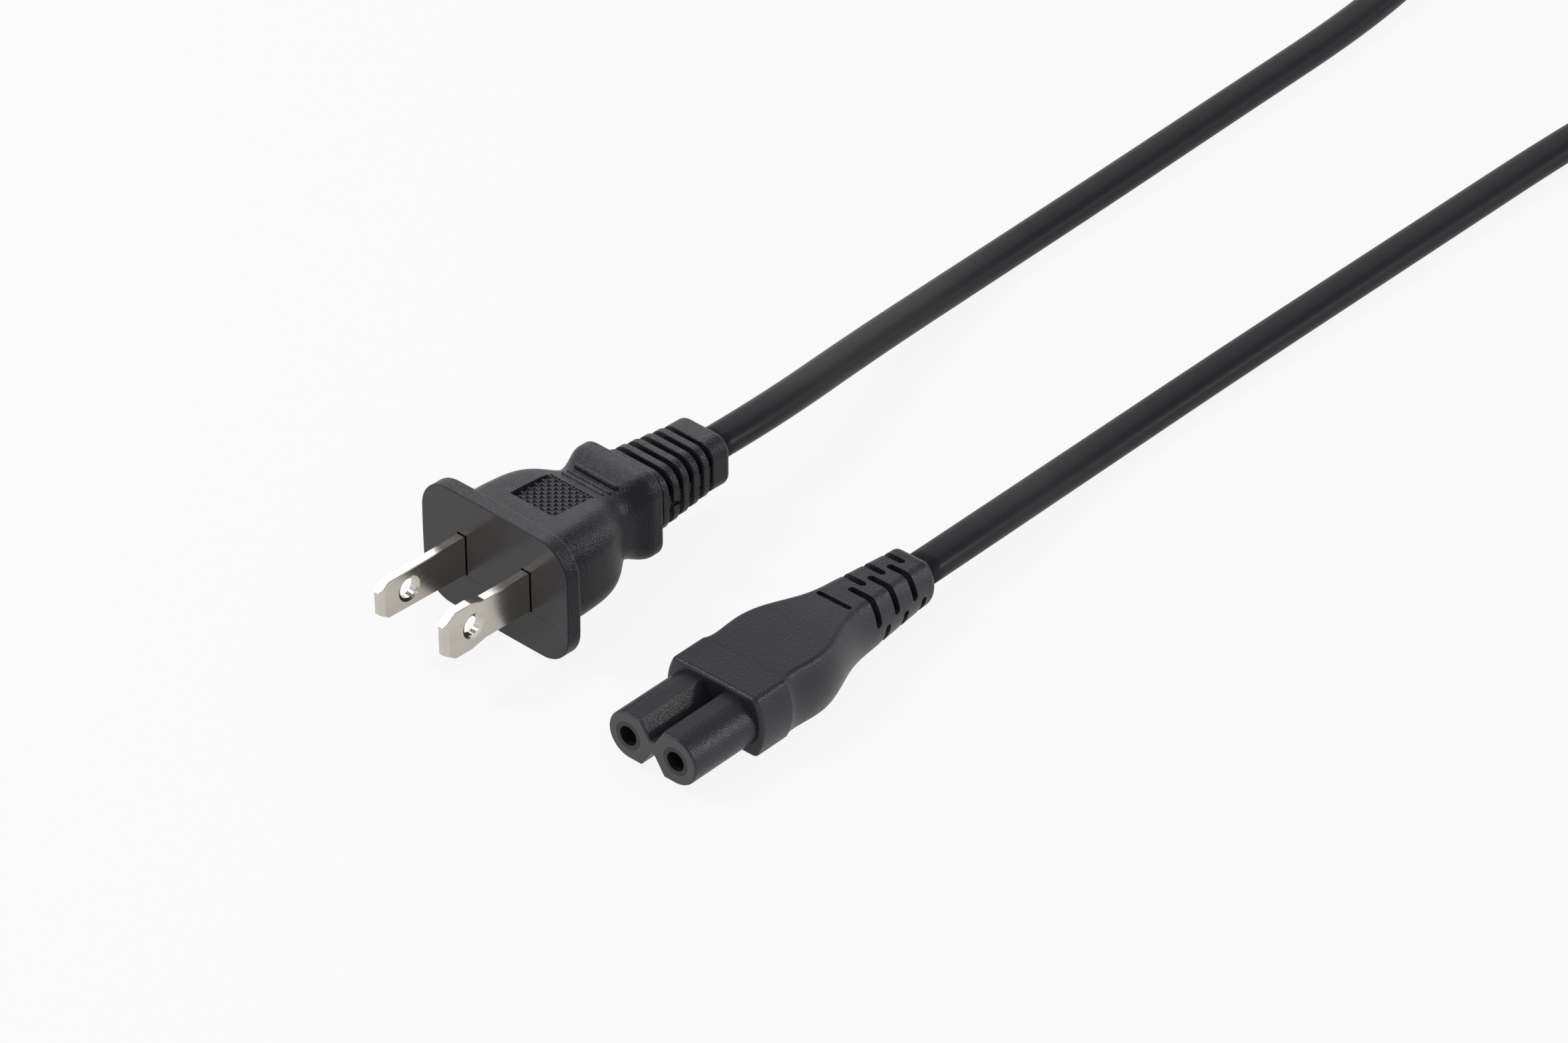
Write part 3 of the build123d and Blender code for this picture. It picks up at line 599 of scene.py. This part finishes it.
class PLUG_OT_dress_inner_pieces(bpy.types.Operator):
    """Finishes the pieces inside both mouldings: bridge, carrier, cores, strands and contacts"""

    bl_idname = "plug.dress_inner_pieces"
    bl_label = "Dress inner pieces"

    def execute(self, context):
        plastics = (
            ("bridge_nylon", (0.62, 0.58, 0.50), 0.5, ("prong_bridge",)),
            ("carrier_plastic", (0.012, 0.012, 0.013), 0.45, ("contact_carrier",)),
            ("dark_core", (0.02, 0.02, 0.02), 0.4, ("plug_core_narrow", "connector_core_left")),
            ("light_core", (0.7, 0.7, 0.68), 0.4, ("plug_core_wide", "connector_core_right")),
        )
        for name, colour, roughness, pieces in plastics:
            dress(pieces, plain_plastic(name, colour, roughness))
        copper = bare_metal("copper_strands", (0.72, 0.33, 0.17), 0.35, (0.1, 1, 1))
        strands = (
            "plug_strands_narrow",
            "plug_strands_wide",
            "connector_strands_left",
            "connector_strands_right",
        )
        dress(strands, copper)
        brass = bare_metal("contact_brass", (0.72, 0.54, 0.24), 0.28, (0.2, 1, 1))
        dress(("socket_contact_left", "socket_contact_right"), brass)
        return {"FINISHED"}


class PLUG_OT_lay_lead(bpy.types.Operator):
    """Lays the flat lead from the plug to the connector, with its spare length coiled and tied"""

    bl_idname = "plug.lay_lead"
    bl_label = "Lay lead"

    def execute(self, context):
        sizes = context.scene.plug_lead
        line = route_line(lead_points(), 8)
        lead = flat_tube("flat_lead", line, flat_section(sizes.width, sizes.thickness, 8))
        jacket = jacket_vinyl("lead_jacket", sizes)
        lead.data.materials.append(jacket)
        dress(("plug_jacket_end", "connector_jacket_end"), jacket)
        dress(("coil_tie",), woven_strap("tie_strap"))
        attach(lead, "root")
        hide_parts("lead_at_plug", "lead_coil", "lead_at_connector")
        return {"FINISHED"}


class PLUG_OT_set_stage(bpy.types.Operator):
    """Sets the camera, the pale floor and the soft lamps"""

    bl_idname = "plug.set_stage"
    bl_label = "Set stage"

    def execute(self, context):
        look = context.scene.plug_stage
        place_camera(context.scene, look)
        lay_floor(look)
        light_world(context.scene)
        hang_lamps()
        return {"FINISHED"}


def place_camera(scene, look):
    """A long lens at the photograph's angle."""
    data = bpy.data.cameras.new("camera")
    data.lens = look.lens
    data.sensor_width = 36.0
    data.sensor_fit = "HORIZONTAL"
    data.clip_end = 20.0
    camera = bpy.data.objects.new("camera", data)
    scene.collection.objects.link(camera)
    towards = Vector((
        cos(look.elevation) * cos(look.azimuth),
        cos(look.elevation) * sin(look.azimuth),
        sin(look.elevation),
    ))
    camera.location = Vector(look.target) + look.distance * towards
    camera.rotation_euler = (-towards).to_track_quat("-Z", "Y").to_euler()
    scene.camera = camera


def seen_directly(nodes, mirrored=1.0):
    """1 for rays from the camera or a clear surface, the given share for mirrored ones, else 0."""
    path = nodes.add("ShaderNodeLightPath").outputs
    glossy = nodes.math("MULTIPLY", path["Is Glossy Ray"], mirrored)
    seen = nodes.math("MAXIMUM", path["Is Camera Ray"], glossy)
    return nodes.math("MAXIMUM", seen, path["Is Transmission Ray"])


def lay_floor(look):
    """A wide pale floor that shows near white and keeps a soft shadow."""
    mesh = bmesh.new()
    bmesh.ops.create_grid(mesh, x_segments=1, y_segments=1, size=FLOOR_HALF)
    data = bpy.data.meshes.new("floor")
    mesh.to_mesh(data)
    mesh.free()
    floor = bpy.data.objects.new("floor", data)
    floor.location = (0, 0, CAD_BOX[0][2] - FLOOR_GAP)
    bpy.context.scene.collection.objects.link(floor)
    material = bpy.data.materials.new("floor_paper")
    material.use_nodes = True
    nodes = Nodes(material.node_tree)
    nodes.tree.nodes.remove(nodes.tree.nodes["Principled BSDF"])
    colour = (*look.floor_colour, 1)
    paper = nodes.add("ShaderNodeBsdfDiffuse", Color=colour)
    glow = nodes.add("ShaderNodeEmission", Color=colour)
    share = nodes.math("MULTIPLY", seen_directly(nodes, FLOOR_MIRRORED), FLOOR_GLOW)
    mix = nodes.add("ShaderNodeMixShader")
    for source, target in zip((share, paper.outputs[0], glow.outputs[0]), mix.inputs):
        nodes.join(source, target)
    nodes.join(mix.outputs[0], nodes.tree.nodes["Material Output"].inputs["Surface"])
    floor.data.materials.append(material)


def light_world(scene):
    """A pale studio that mirrors bright near the horizon and dark overhead."""
    world = bpy.data.worlds.new("room")
    world.use_nodes = True
    scene.world = world
    nodes = Nodes(world.node_tree)
    background = nodes.tree.nodes["Background"].inputs
    background["Color"].default_value = (1, 1, 1, 1)
    height = nodes.parts(nodes.add("ShaderNodeTexCoord").outputs["Generated"])["Z"]
    room = nodes.band(height, ROOM_DARK_FROM, ROOM_BRIGHT_TO, ROOM_OVERHEAD, 1.0)
    strength = nodes.add("ShaderNodeMix", data_type="FLOAT", A=ROOM_LIGHT)
    nodes.join(seen_directly(nodes), strength.inputs["Factor"])
    nodes.join(room, strength.inputs["B"])
    nodes.join(strength.outputs["Result"], background["Strength"])


def hang_lamps():
    """Soft lamps: the plug is lit from close behind, the connector from its far side."""
    plug = [NODES["plug_body"]]
    prongs = [NODES["narrow_prong"], NODES["wide_prong"]]
    rest = [NODES["connector_body"], bpy.data.objects["flat_lead"]]
    middle = Vector((-0.02, 0.02, 0))
    # Each with its place and width in metres, its power in watts, and what it lights
    lamps = (
        ("rear_softbox", (-0.145, -0.113, 0.113), 0.075, 0.085, plug),
        ("prong_softbox", (-0.52, -0.48, 0.50), 0.34, 0.6, prongs),
        ("rim_lamp", (-0.62, 0.38, 0.22), 0.05, 2.3, plug),
        ("top_softbox", (-0.12, -0.42, 0.60), 0.08, 2.2, plug),
        ("side_softbox", (-0.55, 0.66, 0.37), 0.12, 1.2, rest),
        ("front_softbox", (0.28, -0.42, 0.55), 0.10, 1.5, None),
    )
    for name, place, size, power, lit in lamps:
        data = bpy.data.lights.new(name, "AREA")
        data.shape = "SQUARE"
        data.size = size
        data.energy = power
        lamp = bpy.data.objects.new(name, data)
        lamp.location = place
        lamp.visible_camera = False
        lamp.rotation_euler = (middle - Vector(place)).to_track_quat("-Z", "Y").to_euler()
        bpy.context.scene.collection.objects.link(lamp)
        if lit:
            receivers = bpy.data.collections.new(name + "_lights")
            for piece in lit:
                receivers.objects.link(piece)
            lamp.light_linking.receiver_collection = receivers


class PLUG_PT_panel(bpy.types.Panel):
    """Lists the plug's operators and their settings"""

    bl_idname = "PLUG_PT_panel"
    bl_label = "Two-prong plug"
    bl_space_type = "VIEW_3D"
    bl_region_type = "UI"
    bl_category = "Plug"

    def draw(self, context):
        for operator in OPERATORS:
            self.layout.operator(operator.bl_idname)
        for group in GROUPS:
            settings = getattr(context.scene, group)
            box = self.layout.box()
            for field in settings.__annotations__:
                box.prop(settings, field)


OPERATORS = (
    PLUG_OT_dress_mouldings,
    PLUG_OT_plate_prongs,
    PLUG_OT_dress_inner_pieces,
    PLUG_OT_lay_lead,
    PLUG_OT_set_stage,
)
GROUPS = {
    "plug_moulding": MouldingLook,
    "plug_metal": MetalLook,
    "plug_lead": LeadSizes,
    "plug_stage": StageLook,
}


def register():
    for group in GROUPS.values():
        bpy.utils.register_class(group)
    for name, group in GROUPS.items():
        setattr(bpy.types.Scene, name, PointerProperty(type=group))
    for operator in OPERATORS:
        bpy.utils.register_class(operator)
    bpy.utils.register_class(PLUG_PT_panel)


def unregister():
    bpy.utils.unregister_class(PLUG_PT_panel)
    for operator in reversed(OPERATORS):
        bpy.utils.unregister_class(operator)
    for name, group in GROUPS.items():
        delattr(bpy.types.Scene, name)
        bpy.utils.unregister_class(group)


def main():
    """Dresses the whole plug and sets its stage."""
    register()
    bpy.context.scene.view_settings.view_transform = "Standard"
    bpy.ops.plug.dress_mouldings()
    bpy.ops.plug.plate_prongs()
    bpy.ops.plug.dress_inner_pieces()
    bpy.ops.plug.lay_lead()
    bpy.ops.plug.set_stage()


if __name__ == "__main__":
    main()
